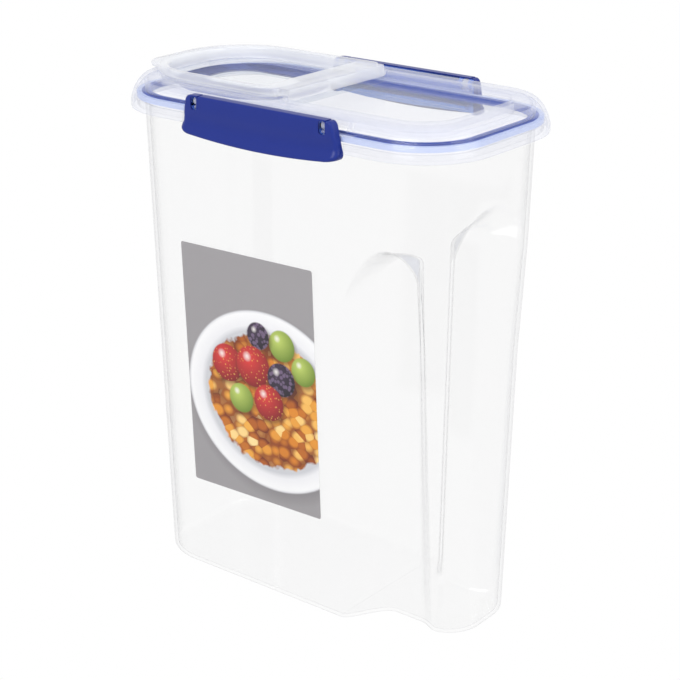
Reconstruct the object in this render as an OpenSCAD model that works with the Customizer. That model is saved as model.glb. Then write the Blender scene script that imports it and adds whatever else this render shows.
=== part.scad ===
// Tall clear storage box with a clip-on lid and a flip spout.
// Origin at the middle of the base. +X points to the grip end, -X to the pouring end,
// -Y to the labelled front, +Z up. Millimetres.

/* [Box] */
// Length of the box wall just under the lid
body_l = 204; // [190:1:216]
// Width of the box wall just under the lid
body_w = 104; // [98:1:112]
// Corner radius of the wall just under the lid
body_r = 31.5; // [28:0.5:36]
// Length of the base
base_l = 194.5; // [184:0.5:198]
// Width of the base
base_w = 91; // [84:0.5:95]
// Corner radius of the base in plan
base_r = 30; // [25:0.5:32]
// Height of the box rim
body_h = 263; // [250:1:280]
// Wall thickness
wall = 1.8; // [1.2:0.1:2.4]
// Radius between the walls and the base
foot_r = 4.5; // [3.5:0.5:7]

/* [Grip] */
// Height of the top of the hand recesses
grip_top = 212.5; // [200:0.5:218]
// Half width of the box between the recesses, at the base
grip_neck = 23; // [20:0.5:26]
// Half width of the bulge behind the recesses, at the base
grip_bulge = 27.5; // [26:0.5:33]
// Where the recesses start along the length
grip_start = 39; // [35:1:41]

/* [Lid] */
// How far the skirt stands out beyond the box wall
lid_over = 7.3; // [6.8:0.1:7.8]
// Height of the skirt below the flange
skirt_h = 6.9; // [6.4:0.1:8]
// Height of the raised rim above its flange
rim_h = 6.2; // [5.5:0.1:7]
// Width of the raised rim
band_w = 12.2; // [11:0.1:14]
// Lid wall thickness
lid_t = 1.6; // [1.2:0.1:2]

/* [Flip cap] */
// Thickness of the cap's flange
cap_t = 3.8; // [3:0.1:4.4]
// Length of the pouring hole
pour_l = 81; // [70:1:82]
// Width of the pouring hole
pour_w = 67; // [56:1:68]

/* [Clips] */
// Length of a clip at its front face
clip_l = 97; // [88:1:106]
// Height of a clip in the middle
clip_h = 21.8; // [20:0.2:24]
// Clip wall thickness
clip_t = 2; // [1.6:0.1:2.2]

/* [Label] */
// Width of the label
label_w = 88.6; // [60:0.2:92]
// Height of the label
label_h = 136.8; // [90:0.2:142]

/* [Hidden] */
$fn = 48;

// Clearances
gap = 0.3;
pin_gap = 0.06;

// Box rim bead
bead_out = 4.2;
bead_h = 3.9;
bead_t = 1.5;
bead_z = body_h - bead_h;

// Lid levels, from the seal upwards
seal_t = 2.6;
seal_z = body_h + gap;
flange_z = seal_z + seal_t;
skirt_z = flange_z - 0.8 - skirt_h;
flange_top = flange_z + 2.2;
rim_z = flange_top + rim_h;
panel_z = flange_top + 0.1;
skirt_l = body_l / 2 + lid_over;
skirt_w = body_w / 2 + lid_over;
skirt_r = body_r + lid_over;
skirt_t = 1.4;
rim_in = lid_over + 0.15;
band_in = rim_in + band_w;

// Box outline at a height: half length, half width, corner radius
function up(z) = z / (body_h - bead_h);
function ox(z) = (base_l + (body_l - base_l) * up(z)) / 2;
function oy(z) = (base_w + (body_w - base_w) * up(z)) / 2;
function orad(z) = base_r + (body_r - base_r) * up(z);
// Bulge outline behind the recesses: end, half width, corner radius
bulge_end = base_l / 2 + 5.5;
function gu(z) = min(1, z / grip_top);
function settle(z) = ease((z - grip_top + 48) / 38);
function tapered(a, b, c, z) = let (p = a + (b - a) * gu(z)) p + (c - p) * settle(z);
function ex(z) = tapered(bulge_end, ox(grip_top) - 1.1, ox(z), z);
function ey(z) = tapered(grip_bulge, oy(grip_top) - 1.3, oy(z), z);
function er(z) = tapered(21, orad(grip_top), orad(z), z);
function neck(z) = grip_neck + 6 * gu(z);
// Station counts along half of the outline
n_arc = 8;
n_in = 10;
n_out = 9;
x_in = grip_start + 20;
x_o0 = 74.5;
x_o1 = 89;
function ease(u) = (1 - cos(180 * max(0, min(1, u)))) / 2;
function arc_y(x, hx, hy, r) = hy - r + sqrt(max(0, r * r - pow(max(0, x - hx + r), 2)));
function s_left(z, a) = [-ox(z) + orad(z) * (1 + cos(a)), oy(z) - orad(z) * (1 - sin(a))];
xs_mid = concat([for (i = [0:n_in]) grip_start + (x_in - grip_start) * i / n_in],
    [for (i = [0:n_out]) x_o0 + (x_o1 - x_o0) * i / n_out]);
function upper_y(x, z) = arc_y(x, ox(z), oy(z), orad(z));
function lower_y(x, z) = x < x_o0 - 0.01
    ? oy(z) + (neck(z) - oy(z)) * ease((x - grip_start) / (x_in - grip_start))
    : neck(z) + (arc_y(x, ex(z), ey(z), er(z)) - neck(z)) * ease((x - x_o0) / (x_o1 - x_o0));
function end_ang(x, hx, r) = acos(max(-1, min(1, (x - hx + r) / r)));
function end_pt(t, hx, hy, r) = let (a = end_ang(x_o1, hx, r) * (1 - t))
    [hx - r + r * cos(a), hy - r + r * sin(a)];
// Points of half the outline: along the pouring end, the side with its recess, and the grip end
n_mid = len(xs_mid);
half_n = 1 + n_arc + n_mid + n_arc;
function lower_pt(i, z) = i <= n_arc ? s_left(z, 180 - 90 * i / n_arc)
    : i <= n_arc + n_mid ? let (x = xs_mid[i - n_arc - 1]) [x, lower_y(x, z)]
    : end_pt((i - n_arc - n_mid) / n_arc, ex(z), ey(z), er(z));
function upper_pt(i, z) = i <= n_arc ? s_left(z, 180 - 90 * i / n_arc)
    : i <= n_arc + n_mid ? let (x = xs_mid[i - n_arc - 1]) [x, upper_y(x, z)]
    : end_pt((i - n_arc - n_mid) / n_arc, ox(z), oy(z), orad(z));
// Height of the arched top of the recess at each point
peak_x = 71.5;
arch_w = 16.9;
arch_h = 19;
function arch(x) = grip_top - (x < peak_x ? arch_h * pow((peak_x - x) / 22.6, 2)
    : arch_h * (1 - sqrt(1 - pow(min(1, (x - peak_x) / arch_w), 2))));
function arch_at(i) = i <= n_arc ? arch(grip_start)
    : i <= n_arc + n_mid ? arch(xs_mid[i - n_arc - 1])
    : arch(x_o1) + (grip_top - 2 - arch(x_o1)) * ease((i - n_arc - n_mid) / n_arc * 1.6);
ledge = 9;
n_ledge = 8;
// A level of the wall: below the recess top (k = 0), through it (k to n_ledge), above it
function level_z(i, z, k) = k < 0 ? z : arch_at(i) - ledge * (1 - k / n_ledge);
function level_w(z, k) = k < 0 ? (z > grip_top ? 1 : 0) : ease(k / n_ledge);
function half_line(z, k) = [for (i = [0:half_n - 1])
    let (zz = min(level_z(i, z, k), bead_z), w = level_w(z, k))
    lower_pt(i, zz) * (1 - w) + upper_pt(i, zz) * w];
// The same line moved outwards by d along its own normals
function unit(v) = v / max(0.000001, norm(v));
function side_n(p, i) = i == 0 ? [-1, 0] : i == len(p) - 1 ? [1, 0]
    : let (t = unit(unit(p[i + 1] - p[i]) + unit(p[i] - p[i - 1]))) [-t[1], t[0]];
function moved(p, d) = [for (i = [0:len(p) - 1]) p[i] + d * side_n(p, i)];
function ring(z, d, k) = let (h = moved(half_line(z, k), d), n = len(h))
    concat([for (i = [0:n - 1]) [h[i][0], h[i][1], level_z(i, z, k)]],
        [for (i = [n - 1:-1:0]) [h[i][0], -h[i][1], level_z(i, z, k)]]);

// Levels of the outer and inner skins, as height, offset and step through the recess top
fan = [0, 15, 32, 50, 70, 90];
low_zs = [45, 95, 140];
high_z = grip_top + 4;
outer_lv = concat(
    [for (a = fan) [foot_r * (1 - cos(a)), -foot_r * (1 - sin(a)), -1]],
    [for (z = low_zs) [z, 0, -1]],
    [for (k = [0:n_ledge]) [0, 0, k]],
    [[high_z, 0, -1],
     [bead_z + bead_h - bead_t - 1.2, 0, -1],
     [bead_z + bead_h - bead_t, 0.6, -1],
     [bead_z + bead_h - bead_t, bead_out - 1.2, -1],
     [bead_z, bead_out - 1.2, -1],
     [bead_z, bead_out - 0.3, -1],
     [bead_z + 0.4, bead_out, -1],
     [body_h - 0.5, bead_out, -1],
     [body_h, bead_out - 0.5, -1]]);
foot_in = foot_r - wall;
inner_lv = concat(
    [[body_h, -wall + 0.3, -1], [body_h - 0.4, -wall, -1], [high_z, -wall, -1]],
    [for (k = [n_ledge:-1:0]) [0, -wall, k]],
    [for (k = [2:-1:0]) [low_zs[k], -wall, -1]],
    [for (k = [5:-1:0]) [wall + foot_in * (1 - cos(fan[k])), -wall - foot_in * (1 - sin(fan[k])), -1]]);
all_lv = concat(outer_lv, inner_lv);
ring_n = 2 * half_n;
shell_pts = [for (lv = all_lv) each ring(lv[0], lv[1], lv[2])];
n_lv = len(all_lv);
function q(l, i) = l * ring_n + i % ring_n;
side_faces = [for (l = [0:n_lv - 2], i = [0:ring_n - 1])
    each [[q(l, i), q(l + 1, i), q(l + 1, i + 1)], [q(l, i), q(l + 1, i + 1), q(l, i + 1)]]];
function m(i) = ring_n - 1 - i;
floor_faces = [for (i = [0:half_n - 2])
    each [[q(0, i), q(0, i + 1), q(0, m(i + 1))], [q(0, i), q(0, m(i + 1)), q(0, m(i))]]];
top_l = n_lv - 1;
inner_floor = [for (i = [0:half_n - 2])
    each [[q(top_l, i), q(top_l, m(i + 1)), q(top_l, i + 1)],
          [q(top_l, i), q(top_l, m(i)), q(top_l, m(i + 1))]]];

// Cap: plan sizes
hinge_x = 0;
cap_end = 2;
cap_w = body_w / 2 - 10;
cap_r = cap_w - 3.5;
cap_tip = body_l / 2 + 2.8;
// Finger tab at the tip
tab_tip = cap_tip + 5.2;
tab_w = 28;
tab_r = 14;
tab_t = 2;
pocket_x = body_l / 2 - 2.2;
pocket_w = skirt_w - band_in;
pocket_r = pocket_w - 7;
tray_x = pocket_x - 1.1;
tray_w = pocket_w - 1.1;
tray_end = -8.5;
tray_r = pocket_r - 1.1;
cap_z = rim_z + gap;
cap_top = cap_z + cap_t;
cap_floor = panel_z + 1.6;
floor_t = 1.4;
pour_x = -55;
pour_r = pour_w / 2 - 3.5;
hinge_z = rim_z - 1.1;
hinge_r = 1.3;
side_end = hinge_x - 3.2;
plug_gap = 0.6;
gasket_t = 1.2;
hole_l = pour_l - 30;
hole_w = pour_w - 31;
hole_r = hole_w / 2 - 2.5;
plug_z = panel_z - lid_t + 0.3;

// Clips: plan sizes and levels
clip_half = clip_l / 2;
clip_o = body_w / 2 + 10.1;
clip_back = body_w / 2 + 5.2;
pivot_o = body_w / 2 + 5.9;
pivot_z = rim_z - 3.7;
pivot_r = 1.3;
head_r = 2.7;
clip_top = rim_z - 0.5;
clip_low = clip_top - clip_h;
clip_x = 0.8;
slot_x = clip_half - 7.6;
slot_w = 4;
lug_w = slot_w - 2 * gap;
cut_half = clip_half + 3;
slot_low = 4;
slot_high = 2.7;
lug_r = 2.3;
knuckle_w = 2;
catch_tip = body_w / 2 + bead_out + gap;
catch_z = bead_z - 3;

// Label: on the front wall, above the middle
label_x = -17.2;
label_z = 55.4 + label_h / 2;
label_t = 0.3;
label_lean = 1;
front_tilt = atan((body_w - base_w) / 2 / (body_h - bead_h));

module rr(hx, hy, r) {
    square([2 * hx, 2 * (hy - r)], center = true);
    square([2 * (hx - r), 2 * hy], center = true);
    for (sx = [-1, 1], sy = [-1, 1]) translate([sx * (hx - r), sy * (hy - r)]) circle(r, $fn = 96);
}

// Rounded block between two X positions, with its own left and right corner radii
module rr_x(x0, x1, hy, r0, r1) {
    translate([x0 + r0, -hy]) square([x1 - r1 - x0 - r0, 2 * hy]);
    translate([x0, -hy + r0]) square([r0 + 0.01, 2 * (hy - r0)]);
    translate([x1 - r1 - 0.01, -hy + r1]) square([r1 + 0.01, 2 * (hy - r1)]);
    for (s = [-1, 1]) translate([x0 + r0, s * (hy - r0)]) circle(r0, $fn = 96);
    for (s = [-1, 1]) translate([x1 - r1, s * (hy - r1)]) circle(r1, $fn = 48);
}

// A band that follows the lid's outline: its section is drawn as inset from the skirt and height
module around(pts) {
    sec = [for (p = pts) [skirt_r - p[0], p[1]]];
    cx = skirt_l - skirt_r;
    cy = skirt_w - skirt_r;
    for (k = [0:3]) translate([(k == 0 || k == 3 ? 1 : -1) * cx, (k < 2 ? 1 : -1) * cy, 0])
        rotate([0, 0, 90 * k]) rotate_extrude(angle = 90, $fn = 96) polygon(sec);
    for (s = [0, 1]) rotate([0, 0, 180 * s]) translate([cx, -cy, 0])
        rotate([90, 0, 180]) linear_extrude(2 * cy) polygon([for (p = sec) [-p[0], p[1]]]);
    for (s = [0, 1]) rotate([0, 0, 180 * s]) translate([-cx, cy, 0])
        rotate([90, 0, 90]) linear_extrude(2 * cx) polygon(sec);
}

module container() {
    color([0.93, 0.94, 0.97, 0.35])
    polyhedron(points = shell_pts, faces = concat(side_faces, floor_faces, inner_floor));
}

// Rounded shoulder between the skirt and the raised rim, as inset and height
turn_n = 9;
shell_d = rim_in + 0.75;
shell_z = skirt_z + 2.6;
function turn(k, d, z, h) = let (a = 90 * k / turn_n) [d * (1 - pow(cos(a), 1.27)), z + h * pow(sin(a), 1.27)];
shoulder = [for (k = [0:turn_n]) turn(k, shell_d, shell_z, rim_z - 0.15 - shell_z)];
hollow = [for (k = [turn_n - 2:-1:0]) turn(k, shell_d - 1, shell_z, rim_z - 2 - shell_z) + [skirt_t, 0]];
lid_section = concat([[0.25, skirt_z], [0, skirt_z + 0.3]], shoulder,
    [[shell_d + 0.8, rim_z], [band_in - 0.7, rim_z], [band_in, rim_z - 0.7],
     [band_in, panel_z - lid_t], [band_in - lid_t + 0.2, panel_z - lid_t],
     [band_in - lid_t + 0.2, rim_z - lid_t + 0.2], [rim_in + skirt_t, rim_z - lid_t + 0.2],
     [rim_in + skirt_t, flange_z], [rim_in, flange_z], [rim_in, rim_z - 3]],
    hollow, [[skirt_t, skirt_z]]);
// Where the clips sit the shoulder gives way to a flat flange and an upright wall
flat_in = lid_over - 4.7;
flat_section = [[flat_in, flange_z], [flat_in, flange_z + 1], [rim_in - 0.85, flange_top],
    [rim_in, flange_top + 0.4], [rim_in, rim_z - 0.8], [rim_in + 0.8, rim_z],
    [rim_in + skirt_t, rim_z], [rim_in + skirt_t, flange_z]];

module pocket(d) {
    rr_x(-pocket_x - d, cap_end + 60, pocket_w + d, pocket_r + d, 1);
}

module lid_blank() {
    around(lid_section);
    translate([0, 0, panel_z - lid_t]) linear_extrude(lid_t)
        rr(skirt_l - band_in + 0.2, skirt_w - band_in + 0.2, skirt_r - band_in + 0.2);
    // Wall of the pocket that the cap sits in
    translate([0, 0, panel_z - lid_t]) linear_extrude(rim_z - panel_z + lid_t) intersection() {
        pocket(lid_t);
        translate([-skirt_l, -skirt_w]) square([skirt_l - 40, 2 * skirt_w]);
        rr(skirt_l - rim_in - 0.1, skirt_w - rim_in - 0.1, skirt_r - rim_in - 0.1);
    }
}

module lug() {
    rotate([90, 0, 90]) translate([0, 0, -lug_w / 2]) linear_extrude(lug_w) {
        translate([pivot_o, pivot_z]) circle(lug_r);
        polygon([[skirt_w - rim_in + 0.2, flange_top - 0.8], [body_w / 2 + 4.5, flange_z + 0.6],
            [pivot_o + 1.6, pivot_z - 1.6], [pivot_o, pivot_z], [pivot_o - 1, pivot_z - 2],
            [skirt_w - rim_in + 0.2, flange_top + 0.1]]);
    }
    translate([0, pivot_o, pivot_z]) rotate([0, 90, 0])
        cylinder(h = slot_w + 2 * knuckle_w - 4 * gap, r = pivot_r, center = true);
}

// Solid end wall of the shoulder beside a clip
module ear() {
    pts = concat([[skirt_t - 0.1, skirt_z + 0.01], [0.25, skirt_z + 0.01], [0.01, skirt_z + 0.3]],
        [for (p = shoulder) p + [0.01, -0.01]],
        [[rim_in + skirt_t - 0.2, rim_z - 1], [rim_in + skirt_t - 0.2, flange_z + 0.02], [2.6, flange_z + 0.02],
         [skirt_t - 0.1, flange_z - 1.2]]);
    rotate([90, 0, 90]) linear_extrude(2) polygon([for (p = pts) [skirt_w - p[0], p[1]]]);
}

module lid() {
    color([0.9, 0.92, 0.97, 0.4])
    difference() {
        union() {
            difference() {
                lid_blank();
                // Skirt and shoulder are open where the clips swing
                for (s = [0, 1]) mirror([0, s, 0])
                    translate([clip_x - cut_half, skirt_w - rim_in - 0.7, skirt_z - 1])
                    cube([2 * cut_half, 20, 30]);
                // Pocket for the cap
                translate([0, 0, panel_z]) linear_extrude(30) intersection() {
                    pocket(0);
                    translate([-skirt_l, -skirt_w]) square([skirt_l - 20, 2 * skirt_w]);
                }
                // Pouring hole
                translate([pour_x, 0, panel_z - 20]) linear_extrude(40)
                    rr(pour_l / 2, pour_w / 2, pour_r);
            }
            for (s = [0, 1]) mirror([0, s, 0]) translate([clip_x, 0, 0]) {
                translate([-cut_half, 0, 0]) rotate([90, 0, 90]) linear_extrude(2 * cut_half)
                    polygon([for (p = flat_section) [skirt_w - p[0], p[1]]]);
                for (x = [-slot_x, slot_x]) translate([x, 0, 0]) lug();
                for (mx = [0, 1]) mirror([mx, 0, 0]) translate([cut_half - 0.01, 0, 0]) ear();
            }
            // Round posts that carry the cap's hinge
            for (s = [-1, 1]) translate([hinge_x, s * (pocket_w + 0.9), hinge_z]) rotate([90, 0, 0])
                cylinder(h = 2.6, r = 2.6, center = true);
        }
        for (s = [-1, 1]) translate([hinge_x, s * (pocket_w + 0.9), hinge_z]) rotate([90, 0, 0])
            cylinder(h = 3, r = hinge_r + pin_gap, center = true);
    }
}

module lid_seal() {
    color([0.25, 0.38, 0.7])
    around([[3.2, seal_z], [3.2, flange_z], [rim_in + skirt_t, flange_z],
        [rim_in + skirt_t, panel_z - lid_t], [rim_in + skirt_t + 1.5, panel_z - lid_t],
        [rim_in + skirt_t + 1.5, seal_z]]);
}

module flip_cap() {
    color([0.85, 0.9, 0.95, 0.5])
    difference() {
        union() {
            // Flange over the raised rim
            translate([0, 0, cap_z]) linear_extrude(cap_t) {
                rr_x(-cap_tip, side_end, cap_w, cap_r, 1.5);
                translate([side_end - 8, -pocket_w + gap * 3]) square([cap_end - side_end + 8, 2 * (pocket_w - gap * 3)]);
            }
            translate([0, 0, cap_z]) linear_extrude(tab_t) rr_x(-tab_tip, 20 - cap_tip, tab_w, tab_r, 1);
            // Tray
            translate([0, 0, cap_floor]) linear_extrude(cap_top - cap_floor - 0.01)
                rr_x(-tray_x, tray_end, tray_w, tray_r, 12);
            // Wall at the hinge end
            translate([cap_end - 1.6, -pocket_w + gap * 3, panel_z + 0.9])
                cube([1.6, 2 * (pocket_w - gap * 3), cap_z - panel_z]);
            // Hinge pins
            for (s = [-1, 1]) translate([hinge_x, s * (pocket_w - 0.5), hinge_z]) rotate([90, 0, 0])
                cylinder(h = 4.2, r = hinge_r, center = true);
            for (s = [-1, 1]) translate([hinge_x - 1.6, s * (pocket_w - 1.7) - 0.8, hinge_z - 1.6])
                cube([cap_end - hinge_x + 1.4, 1.6, cap_top - hinge_z + 1.4]);
            // Spigot that holds the seal
            translate([pour_x, 0, cap_floor - gasket_t - 0.8]) linear_extrude(gasket_t + 1.3)
                rr(hole_l / 2, hole_w / 2, hole_r);
        }
        translate([0, 0, cap_floor + floor_t]) linear_extrude(20)
            rr_x(-tray_x + 1.5, tray_end - 1.5, tray_w - 1.5, tray_r - 1.5, 10.5);
        translate([pour_x, 0, plug_z - 1]) linear_extrude(cap_floor - plug_z + 1)
            rr(hole_l / 2 - 1.4, hole_w / 2 - 1.4, hole_r - 1.4);
    }
}

module cap_seal() {
    color([0.2, 0.33, 0.68])
    translate([pour_x, 0, plug_z]) difference() {
        linear_extrude(cap_floor - plug_z)
            rr(pour_l / 2 - plug_gap, pour_w / 2 - plug_gap, pour_r - plug_gap);
        translate([0, 0, -1]) linear_extrude(cap_floor - plug_z - gasket_t + 1)
            rr(pour_l / 2 - 4.2, pour_w / 2 - 4.2, pour_r - 4.2);
        linear_extrude(20) rr(hole_l / 2, hole_w / 2, hole_r);
    }
}

// How far the lower lip stands out, and the clip's depth and end rounding in plan
lip = 1.8;
clip_depth = 20;
end_r = 4.5;
// Clip section: inset from the front is drawn as distance from the middle and height
clip_out = [
    [clip_back, clip_top - 0.4], [clip_back + 0.5, clip_top], [clip_o - 1.4, clip_top],
    [clip_o - 0.4, clip_top - 0.6], [clip_o - 0.1, clip_top - 2], [clip_o, clip_low + 14],
    [clip_o - 0.5, clip_low + 9], [clip_o - 0.2, clip_low + 5.5], [clip_o + lip, clip_low + 1.5],
    [clip_o + lip, clip_top - 40], [clip_back, clip_top - 40]];
clip_in = [
    [clip_back - 5, clip_top - clip_t], [clip_o - clip_t - 0.6, clip_top - clip_t],
    [clip_o - clip_t, clip_low + 14], [clip_o - clip_t - 0.5, clip_low + 9],
    [clip_o - clip_t - 0.2, clip_low + 5.5], [clip_o - clip_t + lip, clip_low + 1.5],
    [clip_o - clip_t + lip, clip_top - 50], [clip_back - 5, clip_top - 50]];
bow = 2.6;
low_c = 3;
top_c = 3;
low_r = (clip_half * clip_half + bow * bow) / (2 * bow);
function bow_z(x) = clip_low + low_r - sqrt(low_r * low_r - x * x);
wide = clip_half + 1.8;
low_x = wide - low_c;
front_half = concat([for (k = [0:10]) [low_x * k / 10, bow_z(low_x * k / 10)]],
    [for (a = [15:15:90]) [low_x + low_c * sin(a), bow_z(low_x) + low_c * (1 - cos(a))]],
    [[clip_half + 0.9, clip_low + 8], [clip_half + 0.3, clip_low + 10], [clip_half - 0.6, clip_low + 14]],
    [for (a = [0:15:90]) [clip_half - 1.9 - top_c * (1 - cos(a)), clip_top - top_c * (1 - sin(a))]]);
n_fh = len(front_half);

module clip_front_shape() {
    difference() {
        polygon(concat(front_half, [for (k = [n_fh - 1:-1:1]) [-front_half[k][0], front_half[k][1]]]));
        // Slots that the lid's lugs show through, and the small notches above them
        for (x = [-slot_x, slot_x]) translate([x - slot_w / 2, pivot_z - slot_low])
            square([slot_w, slot_low + slot_high]);
        for (x = [-slot_x, slot_x]) translate([x + 2.2, clip_top - 1]) square([1.2, 3]);
    }
}

module clip_shell() {
    difference() {
        intersection() {
            rotate([90, 0, 0]) translate([0, 0, -clip_o - 5]) linear_extrude(clip_depth + 5) clip_front_shape();
            rotate([90, 0, 90]) translate([0, 0, -wide]) linear_extrude(2 * wide) polygon(clip_out);
            translate([0, clip_o + lip - clip_depth, clip_low - 1]) linear_extrude(clip_h + 2)
                rr(wide, clip_depth, end_r);
        }
        intersection() {
            rotate([90, 0, 90]) translate([0, 0, -wide]) linear_extrude(2 * wide) polygon(clip_in);
            rotate([90, 0, 0]) translate([0, 0, -clip_o - 5]) linear_extrude(clip_depth + 5)
                translate([clip_t + 1.7 - clip_half, clip_low - 5])
                square([2 * (clip_half - 1.7 - clip_t), clip_h + 10]);
        }
    }
}

module clip() {
    difference() {
        union() {
            clip_shell();
            // Knuckles on both sides of each slot
            for (x = [-slot_x, slot_x], s = [-1, 1]) translate([x + s * (slot_w + knuckle_w) / 2, 0, 0])
                rotate([90, 0, 90]) translate([0, 0, -knuckle_w / 2]) linear_extrude(knuckle_w) {
                    translate([pivot_o, pivot_z]) circle(head_r);
                    translate([pivot_o, pivot_z - head_r])
                        square([clip_o - pivot_o - clip_t + 0.2, head_r + clip_top - clip_t - pivot_z + 0.2]);
                }
        }
        for (x = [-slot_x, slot_x]) translate([x, pivot_o, pivot_z]) rotate([0, 90, 0])
            cylinder(h = slot_w + 2 * knuckle_w + 1, r = pivot_r + pin_gap, center = true);
    }
    // Catch under the box rim
    translate([-clip_half + 8, 0, 0]) rotate([90, 0, 90]) linear_extrude(clip_l - 16) polygon([
        [catch_tip, catch_z + 1], [catch_tip, catch_z + 2.4], [catch_tip + 0.4, catch_z + 2.6],
        [clip_o - clip_t + 0.1, catch_z + 2.6], [clip_o - clip_t + 0.1, catch_z - 0.5]]);
}

module clip_front() {
    color([0.18, 0.23, 0.57]) translate([clip_x, 0, 0]) mirror([0, 1, 0]) clip();
}

module clip_rear() {
    color([0.18, 0.23, 0.57]) translate([clip_x, 0, 0]) clip();
}

module label() {
    color([0.62, 0.61, 0.62])
    translate([label_x, -base_w / 2, 0]) rotate([front_tilt, 0, 0]) translate([0, 0, label_z / cos(front_tilt)])
        rotate([90, 0, 0]) rotate([0, 0, label_lean]) linear_extrude(label_t) rr(label_w / 2, label_h / 2, 1.2);
}

container();
lid();
lid_seal();
flip_cap();
cap_seal();
clip_front();
clip_rear();
label();
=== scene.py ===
import math
import bmesh
import bpy
from mathutils import Matrix, Vector


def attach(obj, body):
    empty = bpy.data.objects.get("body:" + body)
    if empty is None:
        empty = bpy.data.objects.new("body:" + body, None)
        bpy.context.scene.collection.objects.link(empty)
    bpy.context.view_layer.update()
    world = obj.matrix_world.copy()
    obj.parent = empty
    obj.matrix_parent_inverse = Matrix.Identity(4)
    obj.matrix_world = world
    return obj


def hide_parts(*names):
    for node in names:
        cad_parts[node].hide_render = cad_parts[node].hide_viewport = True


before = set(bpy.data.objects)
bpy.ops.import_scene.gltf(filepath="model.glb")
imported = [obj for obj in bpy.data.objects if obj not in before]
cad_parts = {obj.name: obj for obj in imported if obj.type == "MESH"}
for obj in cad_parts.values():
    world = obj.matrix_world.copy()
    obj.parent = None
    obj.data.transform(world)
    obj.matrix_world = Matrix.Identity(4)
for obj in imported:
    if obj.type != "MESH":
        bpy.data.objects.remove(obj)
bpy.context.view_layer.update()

scene = bpy.context.scene
MM = 0.001

# ---------------------------------------------------------------- camera, fitted to the box's edges
PICTURE_PX = 680
FOCAL_PX = 1775.4
SENSOR_MM = 36
cam_turn, cam_dip = 0.6733, 0.36
cam_pos = Vector((0.5559684, -0.6927154, 0.47003205))
forward = Vector((-math.sin(cam_turn) * math.cos(cam_dip),
                  math.cos(cam_turn) * math.cos(cam_dip),
                  -math.sin(cam_dip)))
right = Vector((math.cos(cam_turn), math.sin(cam_turn), 0))
upward = right.cross(forward)
cam_data = bpy.data.cameras.new("camera")
cam = bpy.data.objects.new("camera", cam_data)
scene.collection.objects.link(cam)
cam.matrix_world = Matrix.Translation(cam_pos) @ Matrix((right, upward, -forward)).transposed().to_4x4()
cam_data.sensor_width = SENSOR_MM
cam_data.lens = FOCAL_PX * SENSOR_MM / PICTURE_PX
cam_data.clip_start = 0.01
cam_data.clip_end = 20
scene.camera = cam

# ---------------------------------------------------------------- sizes shared with the solids, mm
# Box under the lid and at its foot: length, width, corner radius
body_l, body_w, body_r = 204.0, 104.0, 31.5
base_l, base_w, base_r = 194.5, 91.0, 30.0
body_h, wall, foot_r = 263.0, 1.8, 4.5
# Hand recess: top, half width between the two at the foot, half width of the bulge behind them, start
grip_top, grip_neck, grip_bulge, grip_start = 212.5, 23.0, 27.5, 39.0
grip_deep = grip_start + 20
bulge_start, bulge_full = 74.5, 89.0
bulge_end, bulge_r = base_l / 2 + 5.5, 21
arch_x, arch_left, arch_right, arch_h = 71.5, 22.6, 16.9, 19.0
# Bead round the box's rim
bead_out, bead_h, bead_t = 4.2, 3.9, 1.5
bead_z = body_h - bead_h
# Lid: overhang, heights of skirt and rim, width of the rim with its shoulder, wall thicknesses
lid_over, skirt_h, rim_h, band_w, lid_t, skirt_t = 7.3, 6.9, 6.2, 12.2, 1.6, 1.4
seal_z = body_h + 0.3
flange_z = seal_z + 2.6
skirt_z = flange_z - 0.8 - skirt_h
flange_top = flange_z + 2.2
rim_z = flange_top + rim_h
panel_z = flange_top + 0.1
skirt_l, skirt_w, skirt_r = body_l / 2 + lid_over, body_w / 2 + lid_over, body_r + lid_over
rim_in = lid_over + 0.15
band_in = rim_in + band_w
shell_d, shell_z = rim_in + 0.75, skirt_z + 2.6
flat_in = lid_over - 4.7
# Flap, its finger tab, its tray and the pocket that takes it
cap_z, cap_top, cap_floor = rim_z + 0.3, rim_z + 4.1, panel_z + 1.6
cap_w, cap_tip, cap_end = body_w / 2 - 10, body_l / 2 + 2.8, -3.2
cap_r = cap_w - 3.5
tab_tip, tab_w, tab_r, tab_t = cap_tip + 5.2, 28.0, 14.0, 2.0
pocket_x, pocket_w = body_l / 2 - 2.2, skirt_w - band_in
pocket_r = pocket_w - 7
tray_x, tray_w, tray_r, tray_end = pocket_x - 1.1, pocket_w - 1.1, pocket_r - 1.1, -8.5
hinge_z, hinge_r = rim_z - 1.1, 1.3
pin_gap = 0.06
# Pouring hole, the flap's seal and the spigot that holds it
pour_x, pour_l, pour_w = -55.0, 81.0, 67.0
pour_r = pour_w / 2 - 3.5
spigot_l, spigot_w = pour_l - 30, pour_w - 31
spigot_r, spigot_t = spigot_w / 2 - 2.5, 1.4
plug_z = panel_z - lid_t + 0.3
plug_gap, gasket_t, gasket_in = 0.6, 1.2, 4.2
# Clips: centre, half length, height, wall; back and front face; lower lip; pins, knuckles and slots
clip_x, clip_half, clip_h, clip_t = 0.8, 48.5, 21.8, 2.0
clip_o, clip_back = body_w / 2 + 10.1, body_w / 2 + 5.2
clip_in = clip_o - clip_t
clip_top = rim_z - 0.5
clip_low = clip_top - clip_h
clip_wide, lip, bow = clip_half + 1.8, 1.8, 2.6
bow_r = (clip_half ** 2 + bow ** 2) / (2 * bow)
pivot_o, pivot_z, pivot_r = body_w / 2 + 5.9, rim_z - 3.7, 1.3
lug_r, lug_t, knuckle_r, knuckle_w = 2.3, 3.4, 2.7, 2.0
slot_x, slot_w = clip_half - 7.6, 4.0
cut_half = clip_half + 3
# Centre of the label
label_x, label_z = -17.2, 123.8


# ---------------------------------------------------------------- form of the box
def box_x(z):
    """Half length of the plain outline at a height; box_y and box_r: half width, corner radius."""
    return (base_l + (body_l - base_l) * z / bead_z) / 2


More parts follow.
